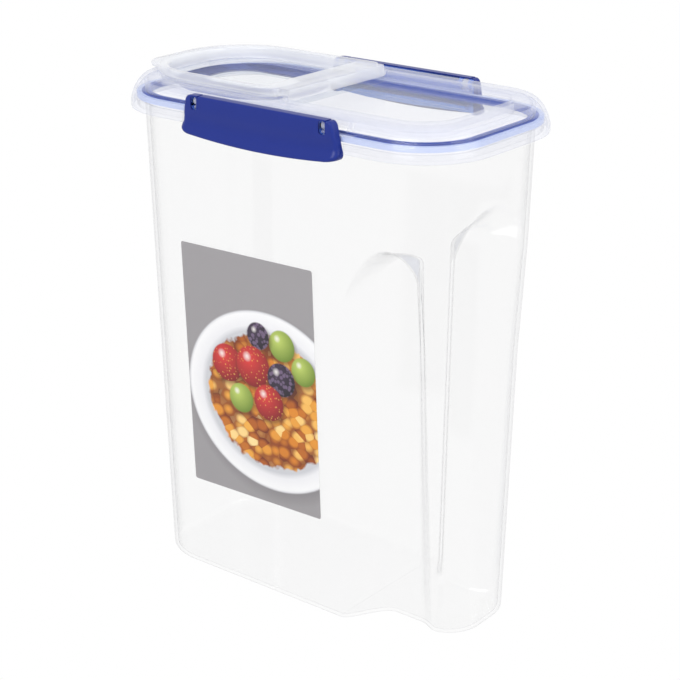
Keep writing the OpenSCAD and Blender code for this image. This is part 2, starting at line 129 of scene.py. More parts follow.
def box_y(z):
    return (base_w + (body_w - base_w) * z / bead_z) / 2


def box_r(z):
    return base_r + (body_r - base_r) * z / bead_z


def ease(u):
    return (1 - math.cos(math.pi * max(0.0, min(1.0, u)))) / 2


def quarter(n):
    """Angles from 0 to 90 degrees in n steps."""
    return [math.pi / 2 * k / n for k in range(n + 1)]


def up_grip(z):
    return min(1.0, z / grip_top)


def tapered(low, top, plain, z):
    """From low at the foot to top at the recess's upper end, and over to the plain outline there."""
    below = low + (top - low) * up_grip(z)
    return below + (plain - below) * ease((z - grip_top + 48) / 38)


def bulge(z):
    """Half length, half width and corner radius of the end between and behind the two recesses."""
    return (tapered(bulge_end, box_x(grip_top) - 1.1, box_x(z), z),
            tapered(grip_bulge, box_y(grip_top) - 1.3, box_y(z), z),
            tapered(bulge_r, box_r(grip_top), box_r(z), z))


def neck(z):
    return grip_neck + 6 * up_grip(z)


def corner_y(x, hx, hy, r):
    return hy - r + math.sqrt(max(0.0, r * r - max(0.0, x - hx + r) ** 2))


def recess_y(x, z):
    """Half width of the box below the arch."""
    if x < bulge_start - 0.01:
        return box_y(z) + (neck(z) - box_y(z)) * ease((x - grip_start) / (grip_deep - grip_start))
    share = ease((x - bulge_start) / (bulge_full - bulge_start))
    return neck(z) + (corner_y(x, *bulge(z)) - neck(z)) * share


def arch(x):
    """Height of the recess's arched top."""
    if x < arch_x:
        return grip_top - arch_h * ((arch_x - x) / arch_left) ** 2
    return grip_top - arch_h * (1 - math.sqrt(1 - min(1.0, (x - arch_x) / arch_right) ** 2))


def container_mesh():
    n_arc, n_side, n_ledge, n_foot, ledge = 22, 6, 20, 12, 9.0
    n_in, n_flat, n_out = 26, 6, 22
    mid = [grip_start + (grip_deep - grip_start) * i / n_in for i in range(n_in + 1)]
    mid += [grip_deep + (bulge_start - grip_deep) * i / n_flat for i in range(1, n_flat)]
    mid += [bulge_start + (bulge_full - bulge_start) * i / n_out for i in range(n_out + 1)]
    n_mid = len(mid)
    half_n = 1 + n_arc + n_side + n_mid + n_arc

    def left_point(i, z):
        a = math.radians(180 - 90 * i / n_arc)
        r = box_r(z)
        return (-box_x(z) + r * (1 + math.cos(a)), box_y(z) - r * (1 - math.sin(a)))

    def end_point(t, hx, hy, r):
        a = math.acos(max(-1, min(1, (bulge_full - hx + r) / r))) * (1 - t)
        return (hx - r + r * math.cos(a), hy - r + r * math.sin(a))

    def point(i, z, w):
        # Point i of half the outline at height z; w goes from the recessed outline (0) to the plain one (1)
        if i <= n_arc:
            return left_point(i, z)
        if i <= n_arc + n_side:
            x0 = -box_x(z) + box_r(z)
            return (x0 + (grip_start - x0) * (i - n_arc) / (n_side + 1), box_y(z))
        j = i - n_arc - n_side - 1
        if j < n_mid:
            x = mid[j]
            return (x, recess_y(x, z) * (1 - w) + corner_y(x, box_x(z), box_y(z), box_r(z)) * w)
        t = (j - n_mid + 1) / n_arc
        lo, hi = end_point(t, *bulge(z)), end_point(t, box_x(z), box_y(z), box_r(z))
        return (lo[0] * (1 - w) + hi[0] * w, lo[1] * (1 - w) + hi[1] * w)

    def arch_at(i):
        if i <= n_arc + n_side:
            return arch(grip_start)
        j = i - n_arc - n_side - 1
        if j < n_mid:
            return arch(mid[j])
        t = (j - n_mid + 1) / n_arc
        return arch(bulge_full) + (grip_top - 2 - arch(bulge_full)) * ease(t * 1.6)

    def ring(z, offset, step):
        # A level ring at height z, or, where step isn't None, one of the rings that follow the arch
        line, heights = [], []
        for i in range(half_n):
            if step is None:
                h = z
                w = 1.0 if z > grip_top else 0.0
            else:
                h = arch_at(i) - ledge * (1 - step / n_ledge)
                w = ease(step / n_ledge)
            line.append(Vector(point(i, min(h, bead_z), w)))
            heights.append(h)
        out = []
        for i in range(half_n):
            if i == 0:
                normal = Vector((-1, 0))
            elif i == half_n - 1:
                normal = Vector((1, 0))
            else:
                t = (line[i + 1] - line[i]).normalized() + (line[i] - line[i - 1]).normalized()
                t.normalize()
                normal = Vector((-t.y, t.x))
            out.append(line[i] + offset * normal)
        half = list(zip(out, heights))
        return [(p.x, p.y, h) for p, h in half] + [(p.x, -p.y, h) for p, h in reversed(half)]

    # Rings from the foot up the outside, over the bead and down the inside: height, offset, arch step
    low = [12, 30, 50, 75, 100, 120, 135, 146]
    high = [grip_top + 3, grip_top + 12, grip_top + 25, grip_top + 38]
    under = body_h - bead_t
    rim = [(under - 1.4, 0), (under - 0.6, 0.12), (under - 0.15, 0.5), (under, 1.1),
           (under, bead_out - 1.5), (under - 0.3, bead_out - 1.2), (bead_z + 0.3, bead_out - 1.2),
           (bead_z, bead_out - 1.0), (bead_z, bead_out - 0.4), (bead_z + 0.1, bead_out - 0.15),
           (bead_z + 0.4, bead_out), (body_h - 0.7, bead_out), (body_h - 0.2, bead_out - 0.2),
           (body_h, bead_out - 0.7), (body_h, -wall + 0.4), (body_h - 0.12, -wall + 0.1),
           (body_h - 0.5, -wall)]
    inner_r = foot_r - wall
    levels = [(foot_r * (1 - math.cos(a)), -foot_r * (1 - math.sin(a)), None) for a in quarter(n_foot)]
    levels += [(z, 0, None) for z in low]
    levels += [(0, 0, k) for k in range(n_ledge + 1)]
    levels += [(z, 0, None) for z in high]
    levels += [(z, d, None) for z, d in rim]
    levels += [(z, -wall, None) for z in reversed(high)]
    levels += [(0, -wall, k) for k in range(n_ledge, -1, -1)]
    levels += [(z, -wall, None) for z in reversed(low)]
    levels += [(wall + inner_r * (1 - math.cos(a)), -wall - inner_r * (1 - math.sin(a)), None)
               for a in reversed(quarter(n_foot))]

    n = 2 * half_n
    verts, faces = [], []
    for level in levels:
        verts += [(x * MM, y * MM, z * MM) for x, y, z in ring(*level)]
    for row in range(len(levels) - 1):
        for i in range(n):
            j = (i + 1) % n
            faces.append((row * n + i, row * n + j, (row + 1) * n + j, (row + 1) * n + i))
    top = (len(levels) - 1) * n
    for i in range(half_n - 1):
        faces.append((i, n - 1 - i, n - 2 - i, i + 1))
        faces.append((top + i, top + i + 1, top + n - 2 - i, top + n - 1 - i))
    return new_object("container_wall", verts, faces)


# ---------------------------------------------------------------- mesh helpers (millimetres, bar new_object)
def new_object(name, verts, faces):
    me = bpy.data.meshes.new(name)
    me.from_pydata(verts, [], faces)
    bm = bmesh.new()
    bm.from_mesh(me)
    bmesh.ops.recalc_face_normals(bm, faces=bm.faces)
    bm.to_mesh(me)
    bm.free()
    me.polygons.foreach_set("use_smooth", [True] * len(me.polygons))
    ob = bpy.data.objects.new(name, me)
    scene.collection.objects.link(ob)
    return ob


def fillet(pts, radii, seg=4):
    """Rounds the corners of a closed polygon, one radius per corner."""
    out, n = [], len(pts)
    for i, radius in enumerate(radii):
        a, b, c = (Vector(pts[k % n]) for k in (i - 1, i, i + 1))
        u, v = a - b, c - b
        if radius <= 0 or u.angle(v) > math.radians(172):
            out.append(tuple(b))
            continue
        t = min(radius / math.tan(u.angle(v) / 2), 0.48 * u.length, 0.48 * v.length)
        p, q = b + u.normalized() * t, b + v.normalized() * t
        for k in range(seg + 1):
            w = k / seg
            out.append(tuple((1 - w) ** 2 * p + 2 * w * (1 - w) * b + w * w * q))
    return out


def rr_loop(x0, x1, hy, r0, r1):
    """Rounded block from x0 to x1, half width hy, corner radii r0 (low X) and r1 (high X)."""
    n_corner, n_straight = 16, 10
    pts = []
    corners = [(x1 - r1, hy - r1, r1, 0), (x0 + r0, hy - r0, r0, 90),
               (x0 + r0, -hy + r0, r0, 180), (x1 - r1, -hy + r1, r1, 270)]
    for k, (cx, cy, r, start) in enumerate(corners):
        for i in range(n_corner + 1):
            a = math.radians(start + 90 * i / n_corner)
            pts.append((cx + r * math.cos(a), cy + r * math.sin(a)))
        nx, ny, nr, start = corners[(k + 1) % 4]
        a = math.radians(start)
        q = (nx + nr * math.cos(a), ny + nr * math.sin(a))
        p = pts[-1]
        pts += [(p[0] + (q[0] - p[0]) * i / n_straight, p[1] + (q[1] - p[1]) * i / n_straight)
                for i in range(1, n_straight)]
    return pts


def lid_loop(d):
    return rr_loop(-skirt_l + d, skirt_l - d, skirt_w - d, skirt_r - d, skirt_r - d)


def pour_loop(d):
    return rr_loop(pour_x - pour_l / 2 + d, pour_x + pour_l / 2 - d, pour_w / 2 - d, pour_r - d, pour_r - d)


def spigot_loop(d):
    return rr_loop(pour_x - spigot_l / 2 + d, pour_x + spigot_l / 2 - d, spigot_w / 2 - d,
                   spigot_r - d, spigot_r - d)


def loft(name, rows):
    """Joins rows of 3-D points into a skin; the first and last rows are capped."""
    n = len(rows[0])
    verts = [(x * MM, y * MM, z * MM) for row in rows for x, y, z in row]
    faces = [(k * n + i, k * n + (i + 1) % n, (k + 1) * n + (i + 1) % n, (k + 1) * n + i)
             for k in range(len(rows) - 1) for i in range(n)]
    faces.append(tuple(range(n))[::-1])
    faces.append(tuple((len(rows) - 1) * n + i for i in range(n)))
    return new_object(name, verts, faces)


def prism_x(section, x0, x1):
    return loft("prism", [[(x, y, z) for y, z in section] for x in (x0, x1)])


def prism_y(section, y0, y1):
    return loft("prism", [[(x, y, z) for x, z in section] for y in (y0, y1)])


def prism_z(loop, z0, z1):
    return loft("prism", [[(x, y, z) for x, y in loop] for z in (z0, z1)])


def circle(r):
    n = 40
    return [(r * math.cos(2 * math.pi * i / n), r * math.sin(2 * math.pi * i / n)) for i in range(n)]


def rod_x(x, y, z, r, length):
    return prism_x([(y + a, z + b) for a, b in circle(r)], x - length / 2, x + length / 2)


def rod_y(x, y, z, r, length):
    return prism_y([(x + a, z + b) for a, b in circle(r)], y - length / 2, y + length / 2)


def joined(obs):
    """Puts several objects into the first one."""
    first = obs[0]
    bm = bmesh.new()
    for ob in obs:
        bm.from_mesh(ob.data)
    bm.to_mesh(first.data)
    bm.free()
    for ob in obs[1:]:
        bpy.data.objects.remove(ob)
    return first


def boolean(ob, other, operation):
    mod = ob.modifiers.new("b", "BOOLEAN")
    mod.operation = operation
    mod.solver = "EXACT"
    mod.object = other
    graph = bpy.context.evaluated_depsgraph_get()
    me = bpy.data.meshes.new_from_object(ob.evaluated_get(graph))
    ob.modifiers.clear()
    old = ob.data
    ob.data = me
    bpy.data.meshes.remove(old)
    bpy.data.objects.remove(other)


def add(ob, other):
    boolean(ob, other, "UNION")


def cut(ob, other):
    boolean(ob, other, "DIFFERENCE")


def mirrored(ob, name):
    """A copy on the other side of the XZ plane."""
    bm = bmesh.new()
    bm.from_mesh(ob.data)
    bmesh.ops.transform(bm, matrix=Matrix.Diagonal((1, -1, 1, 1)), verts=bm.verts)
    bmesh.ops.reverse_faces(bm, faces=bm.faces)
    me = bpy.data.meshes.new(name)
    bm.to_mesh(me)
    bm.free()
    out = bpy.data.objects.new(name, me)
    scene.collection.objects.link(out)
    return out


def finish_mesh(ob):
    """Welds, turns normals outwards and keeps only real edges sharp."""
    weld = 0.004 * MM
    sharp = math.radians(32)
    bm = bmesh.new()
    bm.from_mesh(ob.data)
    bmesh.ops.remove_doubles(bm, verts=bm.verts, dist=weld)
    bmesh.ops.dissolve_degenerate(bm, edges=bm.edges, dist=weld)
    bmesh.ops.recalc_face_normals(bm, faces=bm.faces)
    for f in bm.faces:
        f.smooth = True
    for e in bm.edges:
        e.smooth = not (len(e.link_faces) == 2 and e.calc_face_angle(0) > sharp)
    bm.to_mesh(ob.data)
    bm.free()
    ob.data.name = ob.name
    return ob


# ---------------------------------------------------------------- lid
def turned(d, z, h):
    """Rounded shoulder: insets from 0 to d while the height goes from z to z + h."""
    squareness = 1.27
    return [(d * (1 - max(0.0, math.cos(a)) ** squareness), z + h * math.sin(a) ** squareness)
            for a in quarter(22)]


# Points of the lid's sections are insets from the skirt's outer face, and heights
shoulder = turned(shell_d, shell_z, rim_z - 0.15 - shell_z)
wall_in = rim_in + skirt_t


def lid_profile():
    inner = [(a + skirt_t, b) for a, b in turned(shell_d - 1, shell_z, rim_z - 2 - shell_z)][:-3]
    rim_low = rim_z - lid_t + 0.2
    panel_low = panel_z - lid_t
    out = [(band_in + 1.4, panel_z), (band_in + 0.5, panel_z + 0.12), (band_in + 0.12, panel_z + 0.5),
           (band_in, panel_z + 1.3), (band_in, rim_z - 1.1), (band_in - 0.1, rim_z - 0.55),
           (band_in - 0.35, rim_z - 0.2), (band_in - 0.75, rim_z - 0.03), (band_in - 1.3, rim_z),
           (band_in - 3, rim_z), (shell_d + 2.2, rim_z), (shell_d + 0.8, rim_z - 0.02)]
    out += shoulder[::-1]
    out += [(0, skirt_z + 0.5), (0.08, skirt_z + 0.15), (0.35, skirt_z), (skirt_t - 0.35, skirt_z),
            (skirt_t - 0.08, skirt_z + 0.15), (skirt_t, skirt_z + 0.5)]
    out += inner
    out += [(rim_in - 0.15, rim_z - 2.7), (rim_in, rim_z - 3.2), (rim_in, flange_z + 0.3),
            (rim_in + 0.25, flange_z), (wall_in - 0.25, flange_z), (wall_in, flange_z + 0.3),
            (wall_in, rim_low - 0.6), (wall_in + 0.6, rim_low),
            (band_in - lid_t - 0.4, rim_low), (band_in - lid_t + 0.2, rim_low - 0.6),
            (band_in - lid_t + 0.2, panel_low + 0.4), (band_in - lid_t + 0.6, panel_low),
            (band_in + 1.4, panel_low)]
    return out


def lid_mesh():
    reach, pocket_end, block_end = 20, -20, -40
    cut_l, cut_r = clip_x - cut_half, clip_x + cut_half
    lid = loft("lid_moulding", [[(x, y, z) for x, y in lid_loop(d)] for d, z in lid_profile()])
    # Walls round the flap's pocket, then the clips' cut-outs, the pocket and the pouring hole
    block = rr_loop(-pocket_x - lid_t, block_end, pocket_w + lid_t, pocket_r + lid_t, 0.5)
    add(lid, prism_z(block, panel_z - lid_t + 0.02, rim_z - 0.02))
    gaps = []
    for s in (-1, 1):
        y0, y1 = sorted((s * (skirt_w - rim_in - 0.7), s * (skirt_w + 12)))
        gap = [(y0, skirt_z - 1), (y1, skirt_z - 1), (y1, rim_z + reach), (y0, rim_z + reach)]
        gaps.append(prism_x(gap, cut_l, cut_r))
    cut(lid, joined(gaps))
    cut(lid, prism_z(rr_loop(-pocket_x, pocket_end, pocket_w, pocket_r, 0.3), panel_z, rim_z + reach))
    cut(lid, prism_z(pour_loop(0), panel_z - reach, rim_z + reach))
    # Flat between the clip's two ends, arms and lugs with the pins, and the skirt's closed ends
    flat = [(flat_in, flange_z + 0.01), (flat_in, flange_z + 1), (rim_in - 0.85, flange_top),
            (rim_in, flange_top + 0.4), (rim_in, rim_z - 0.8), (rim_in + 0.8, rim_z - 0.01),
            (wall_in, rim_z - 0.01), (wall_in, flange_z + 0.01)]
    flat = fillet([(skirt_w - d, z) for d, z in flat], [0.2, 0.4, 0.5, 0.5, 0.6, 0.6, 0, 0])
    front_wall = skirt_w - rim_in + 0.2
    arm = [(front_wall, flange_top - 0.8), (body_w / 2 + 4.5, flange_z + 0.6),
           (pivot_o + 1.6, pivot_z - 1.6), (pivot_o, pivot_z), (pivot_o - 1, pivot_z - 2),
           (front_wall, flange_top + 0.1)]
    ear = [(skirt_t - 0.1, skirt_z + 0.02), (0.25, skirt_z + 0.02), (0.02, skirt_z + 0.3)]
    ear += [(a + 0.02, b - 0.02) for a, b in shoulder]
    ear += [(wall_in - 0.2, rim_z - 1), (wall_in - 0.2, flange_z + 0.04),
            (2.6, flange_z + 0.04), (skirt_t - 0.1, flange_z - 1.2)]
    ear = [(skirt_w - a, b) for a, b in ear]
    for s in (-1, 1):
        parts = [prism_x(flat, cut_l - 0.02, cut_r + 0.02)]
        for e in (-1, 1):
            x = clip_x + e * slot_x
            x0, x1 = sorted((clip_x + e * (cut_half - 0.01), clip_x + e * (cut_half + 2)))
            parts += [prism_x(arm, x - lug_t / 2, x + lug_t / 2),
                      rod_x(x, pivot_o, pivot_z, lug_r, lug_t),
                      rod_x(x, pivot_o, pivot_z, pivot_r, slot_w + 2.8),
                      prism_x(ear, x0, x1)]
        for part in parts:
            if s < 0:
                copy = mirrored(part, "mirrored_part")
                bpy.data.objects.remove(part)
                part = copy
            add(lid, part)
    # Posts for the flap's hinge pins
    add(lid, joined([rod_y(0, s * (pocket_w + 0.9), hinge_z, 2.6, 2.6) for s in (-1, 1)]))
    cut(lid, joined([rod_y(0, s * (pocket_w + 0.9), hinge_z, hinge_r + pin_gap, 3) for s in (-1, 1)]))
    return finish_mesh(lid)


# ---------------------------------------------------------------- flap and its seal
def flap_loop(d):
    return rr_loop(-cap_tip + d, cap_end - d, cap_w - d, cap_r - d, max(0.3, 2.5 - d))


def tray_loop(d):
    return rr_loop(-tray_x + d, tray_end - d, tray_w - d, tray_r - d, 12 - d)


def flap_mesh():
    n = 6
    tray_in, foot_in, lip_r, edge_r, foot_out = 1.5, 2.4, 2.0, 0.9, 1.2
    floor_z = cap_floor + 1.4
    # Rows from the tray's floor up its inside, over the rim and down the outside
    rows = [(tray_loop, tray_in + foot_in * (1 - math.sin(a)), floor_z + foot_in * (1 - math.cos(a)))
            for a in quarter(n)]
    rows += [(tray_loop, tray_in - lip_r * (1 - math.cos(a)), cap_top - lip_r + lip_r * math.sin(a))
             for a in quarter(n)[1:]]
    rows += [(flap_loop, edge_r * (1 - math.sin(a)), cap_top - edge_r * (1 - math.cos(a)))
             for a in quarter(n)]
    rows += [(flap_loop, 0, cap_z + 0.35), (flap_loop, 0.1, cap_z + 0.1), (flap_loop, 0.35, cap_z),
             (flap_loop, 2.5, cap_z), (tray_loop, -0.9, cap_z), (tray_loop, -0.3, cap_z - 0.12),
             (tray_loop, -0.05, cap_z - 0.5)]
    rows += [(tray_loop, foot_out * (1 - math.cos(a)), cap_floor + foot_out * (1 - math.sin(a)))
             for a in quarter(n)]
    flap = loft("flap_moulding", [[(x, y, z) for x, y in loop(d)] for loop, d, z in rows])
    # Finger tab, cut free of the tray
    edge = ((0.04, 0.5), (0.18, 0.15), (0.5, 0), (tab_t - 0.5, 0), (tab_t - 0.15, 0.15), (tab_t, 0.5))
    tab = loft("tab", [[(x, y, cap_z + z)
                        for x, y in rr_loop(d - tab_tip, 20 - cap_tip, tab_w - d, tab_r - d, 0.4)]
                       for z, d in edge])
    cut(tab, prism_z(tray_loop(-0.8), cap_z - 1, cap_top + 1))
    add(flap, tab)
    # Hinge end between the posts, with its pins on webs
    hinge_w = pocket_w - 0.9
    end = [(-14, cap_z), (0.4, cap_z), (0.4, panel_z + 0.9), (2, panel_z + 0.9), (2, cap_top - 0.02),
           (-14, cap_top - 0.02)]
    add(flap, prism_y(fillet(end, [0, 0.8, 0.3, 0.3, 1.2, 0]), -hinge_w, hinge_w))
    web = [(-1.6, hinge_z - 1.6), (1.8, hinge_z - 1.6), (1.8, cap_top - 0.2), (-1.6, cap_top - 0.2)]
    for s in (-1, 1):
        add(flap, rod_y(0, s * (pocket_w - 0.5), hinge_z, hinge_r, 4.2))
        web_y = s * (pocket_w - 1.7)
        add(flap, prism_y(web, web_y - 0.8, web_y + 0.8))
    # Hollow spigot that holds the seal
    add(flap, prism_z(spigot_loop(0), cap_floor - 2.0, cap_floor + 0.5))
    cut(flap, prism_z(spigot_loop(spigot_t), plug_z - 1, cap_floor))
    return finish_mesh(flap)


def cap_seal_mesh():
    edge = ((plug_z, 0.6), (plug_z + 0.15, 0.25), (plug_z + 0.6, 0), (cap_floor - 0.4, 0),
            (cap_floor - 0.1, 0.12), (cap_floor, 0.4))
    seal = loft("cap_seal_ring", [[(x, y, z) for x, y in pour_loop(plug_gap + d)] for z, d in edge])
    cut(seal, prism_z(pour_loop(gasket_in), plug_z - 1, cap_floor - gasket_t))
    cut(seal, prism_z(spigot_loop(0), plug_z - 2, cap_floor + 1))
    return finish_mesh(seal)


# ---------------------------------------------------------------- clips
def curve(keys, z):
    """Smooth value through (z, value) pairs given from the top down."""
    if z >= keys[0][0]:
        return keys[0][1]
    for (z0, a), (z1, b) in zip(keys, keys[1:]):
        if z >= z1:
            u = (z0 - z) / (z0 - z1)
            return a + (b - a) * ease(u) * 0.5 + (b - a) * u * 0.5
    return keys[-1][1]


# Half length, outer face and upright edge radius of a clip, each as (height, value) from the top down
half_keys = [(clip_top, clip_half - 1.9), (clip_low + 14, clip_half - 0.6),
             (clip_low + 10, clip_half + 0.3), (clip_low + 7, clip_half + 1.0),
             (clip_low + 4, clip_wide), (clip_low, clip_wide)]
face_keys = [(clip_top, clip_o - 0.1), (clip_top - 5, clip_o), (clip_low + 14, clip_o),
             (clip_low + 9, clip_o - 0.5), (clip_low + 6, clip_o - 0.3), (clip_low + 1.5, clip_o + lip),
             (clip_low, clip_o + lip)]
edge_keys = [(clip_top, 1.6), (clip_low + 11, 1.8), (clip_low + 5, 3.5), (clip_low, 4.5)]


def clip_row(v, grow):
    """One row round the clip at share v of its height, drawn in by grow; the lower edge is bowed."""
    z = clip_low + v * (clip_top - clip_low)
    corner = 3.0
    h = curve(half_keys, z)
    for past in (z - clip_top + corner, clip_low + corner - z):
        if past > 0:
            h -= corner * (1 - math.sqrt(max(0, 1 - (past / corner) ** 2)))
    h -= grow
    y = curve(face_keys, z) - grow
    r = max(0.3, curve(edge_keys, z) - grow)
    side = [clip_back + (y - r - clip_back) * k / 4 for k in range(4)]
    loop = [(-h, s) for s in side]
    loop += [(-h + r - r * math.cos(a), y - r + r * math.sin(a)) for a in quarter(8)]
    loop += [(-h + r + (h - r) * 2 * k / 30, y) for k in range(1, 30)]
    loop += [(h - r + r * math.sin(a), y - r + r * math.cos(a)) for a in quarter(8)]
    loop += [(h, s) for s in reversed(side)]
    row = []
    for x, y in loop:
        low = clip_low + bow_r - math.sqrt(bow_r ** 2 - min(clip_wide, abs(x)) ** 2)
        row.append((x, y, low + v * (clip_top - low)))
    return row


def clip_mesh(name):
    low_r, top_r = 0.7, 0.9
    span = clip_top - clip_low
    shares = [0.06, 0.09, 0.12, 0.16, 0.2, 0.25, 0.3, 0.36, 0.42, 0.5, 0.58, 0.66, 0.74, 0.82, 0.88,
              0.92, 0.945]
    rows = [clip_row(low_r * (1 - math.cos(a)) / span, low_r * (1 - math.sin(a))) for a in quarter(5)]
    rows += [clip_row(v, 0) for v in shares]
    rows += [clip_row(1 - (top_r - top_r * math.sin(a)) / span, top_r * (1 - math.cos(a)))
             for a in quarter(5)]
    clip = loft(name, rows)
    # Hollow inside, open at the back and below
    hollow = [(clip_back - 5, clip_top - clip_t), (clip_in - 0.6, clip_top - clip_t),
              (clip_in, clip_low + 14), (clip_in - 0.5, clip_low + 9), (clip_in - 0.3, clip_low + 5.5),
              (clip_in + lip, clip_low + 1.5), (clip_in + lip, clip_top - 50),
              (clip_back - 5, clip_top - 50)]
    cut(clip, prism_x(hollow, -clip_half + 3.7, clip_half - 3.7))
    # Slots with a nick beside each, and the knuckles that turn on the lid's pins
    slot = [(-slot_w / 2, pivot_z - 4), (slot_w / 2, pivot_z - 4), (slot_w / 2, pivot_z + 2.7),
            (-slot_w / 2, pivot_z + 2.7)]
    nick = [(2.2, clip_top - 1), (3.4, clip_top - 1), (3.4, clip_top + 3), (2.2, clip_top + 3)]
    web = [(pivot_o, pivot_z - 2.68), (clip_in + 0.2, pivot_z - 2.68),
           (clip_in + 0.2, clip_top - clip_t + 0.18), (pivot_o, clip_top - clip_t + 0.18)]
    for x in (-slot_x, slot_x):
        for hole, radii, seg in ((slot, [2.4, 0.6, 1.5, 1.9], 6), (nick, [0.4, 0.4, 0, 0], 4)):
            outline = fillet([(x + a, b) for a, b in hole], radii, seg)
            cut(clip, prism_y(outline, clip_back - 8, clip_o + 8))
        for s in (-1, 1):
            middle = x + s * (slot_w + knuckle_w) / 2
            add(clip, rod_x(middle, pivot_o, pivot_z, knuckle_r, knuckle_w))
            add(clip, prism_x(web, middle - knuckle_w / 2, middle + knuckle_w / 2))
        cut(clip, rod_x(x, pivot_o, pivot_z, pivot_r + pin_gap, 9))
    # Catch under the box's bead
    tip, tip_z = body_w / 2 + bead_out + 0.3, bead_z - 3
    catch = [(tip, tip_z + 1), (tip, tip_z + 2.4), (tip + 0.4, tip_z + 2.6),
             (clip_in + 0.1, tip_z + 2.6), (clip_in + 0.1, tip_z - 0.5)]
    add(clip, prism_x(catch, -clip_half + 8, clip_half - 8))
    finish_mesh(clip)
    for v in clip.data.vertices:
        v.co.x += clip_x * MM
    return clip


# ---------------------------------------------------------------- materials
def srgb(r, g, b):
    def linear(c):
        return ((c / 255 + 0.055) / 1.055) ** 2.4 if c > 10.3 else c / 255 / 12.92
    return (linear(r), linear(g), linear(b), 1.0)


class Graph:
    """Node graph of a material or of the world."""

    def __init__(self, owner, output):
        owner.use_nodes = True
        self.owner = owner
        self.tree = owner.node_tree
        self.tree.nodes.clear()
        self.out = self.node(output)

    def put(self, value, socket):
        if isinstance(value, bpy.types.NodeSocket):
            self.tree.links.new(value, socket)
        else:
            socket.default_value = value

    def node(self, kind, inputs=None, **props):
        node = self.tree.nodes.new(kind)
        for key, value in props.items():
            setattr(node, key, value)
        for key, value in (inputs or {}).items():
            self.put(value, node.inputs[key])
        return node

    def math(self, operation, a, b=0.0, c=0.0):
        return self.node("ShaderNodeMath", {0: a, 1: b, 2: c}, operation=operation).outputs[0]

    def shaders(self, fac, a, b):
        return self.node("ShaderNodeMixShader", {0: fac, 1: a.outputs[0], 2: b.outputs[0]})

    def blend(self, fac, a, b, how="MIX"):
        node = self.node("ShaderNodeMix", data_type="RGBA", blend_type=how)
        for socket, value in ((0, fac), (6, a), (7, b)):
            self.put(value, node.inputs[socket])
        return node.outputs[2]

    def fade(self, value, low, high, at_low=0.0, at_high=1.0):
        return self.node("ShaderNodeMapRange", {"Value": value, "From Min": low, "From Max": high,
                                                "To Min": at_low, "To Max": at_high}).outputs["Result"]

    def coords(self, kind="Object"):
        return self.node("ShaderNodeTexCoord").outputs[kind]

    def axes(self, kind="Object"):
        return self.node("ShaderNodeSeparateXYZ", {0: self.coords(kind)}).outputs

    def noise(self, scale, detail=3.0):
        return self.node("ShaderNodeTexNoise", {"Scale": scale, "Detail": detail,
                                                "Vector": self.coords()}).outputs["Fac"]

    def bump(self, height, strength=0.05, distance=0.0002):
        return self.node("ShaderNodeBump", {"Strength": strength, "Distance": distance,
                                            "Height": height}).outputs["Normal"]

    def surface(self, shader):
        self.put(shader.outputs[0], self.out.inputs["Surface"])
        return self.owner


def material(name):
    return Graph(bpy.data.materials.new(name), "ShaderNodeOutputMaterial")


def plastic_clear(name, tint, milk, haze, edge, power, rough, gloss, layered=False, band=None, lugs=0.0):
    """Thin clear plastic: see-through head on, milkier where it is met at a grazing angle.

    The milk's share is haze head on and grows by edge at the rim, later with a higher power. Outside
    the band (low, high, share), in mm, it is larger by that share; the clip's lugs have at least the
    share in lugs. A layered plastic is seen through by refraction rays, which pass more layers.
    """
    m = material(name)
    lamps = m.node("ShaderNodeBsdfTransparent", {"Color": tint})
    through = lamps
    if layered:
        through = m.node("ShaderNodeBsdfRefraction", {"Color": tint, "Roughness": 0.0, "IOR": 1.0})
    uneven = m.fade(m.noise(90), 0.0, 1.0, rough, rough + 0.1)
    normal = m.bump(m.noise(220))
    milky = m.node("ShaderNodeBsdfPrincipled", {"Base Color": milk, "Specular IOR Level": 0.2,
                                                "Roughness": uneven, "Normal": normal})
    facing = m.node("ShaderNodeLayerWeight", {"Blend": 0.5}).outputs["Facing"]
    amount = m.math("MULTIPLY_ADD", m.math("POWER", facing, power), edge, haze)
    if band:
        x, y, z = m.axes()
        above = m.math("GREATER_THAN", z, band[1] * MM)
        below = m.math("LESS_THAN", z, band[0] * MM)
        amount = m.math("ADD", amount, m.math("MULTIPLY", m.math("ADD", above, below), band[2]))
        if lugs:
            near = m.math("LESS_THAN", m.math("ABSOLUTE", m.math("SUBTRACT", x, clip_x * MM)), 45 * MM)
            beyond = m.math("GREATER_THAN", m.math("ABSOLUTE", y), (body_w / 2 + 3.6) * MM)
            amount = m.math("MAXIMUM", amount, m.math("MULTIPLY", m.math("MULTIPLY", near, beyond), lugs))
    shine = m.node("ShaderNodeBsdfGlossy", {"Color": (1, 1, 1, 1), "Roughness": uneven, "Normal": normal})
    mirror = m.math("MULTIPLY_ADD", m.math("POWER", facing, 5), gloss, 0.04 * gloss)
    shown = m.shaders(mirror, m.shaders(amount, through, milky), shine)
    # Behind many layers the view ends in a pale painted glow: an emission, no lamp, that stands in for light
    # lost past the depth limits
    path = m.node("ShaderNodeLightPath").outputs
    deep = m.math("MAXIMUM", m.math("GREATER_THAN", path["Transparent Depth"], 5.5),
                  m.math("GREATER_THAN", path["Transmission Depth"], 8.5))
    shown = m.shaders(deep, shown, m.node("ShaderNodeEmission", {"Color": (0.80, 0.82, 0.88, 1)}))
    unseen = m.math("MAXIMUM", path["Is Shadow Ray"], path["Is Diffuse Ray"])
    return m.surface(m.shaders(unseen, shown, lamps))


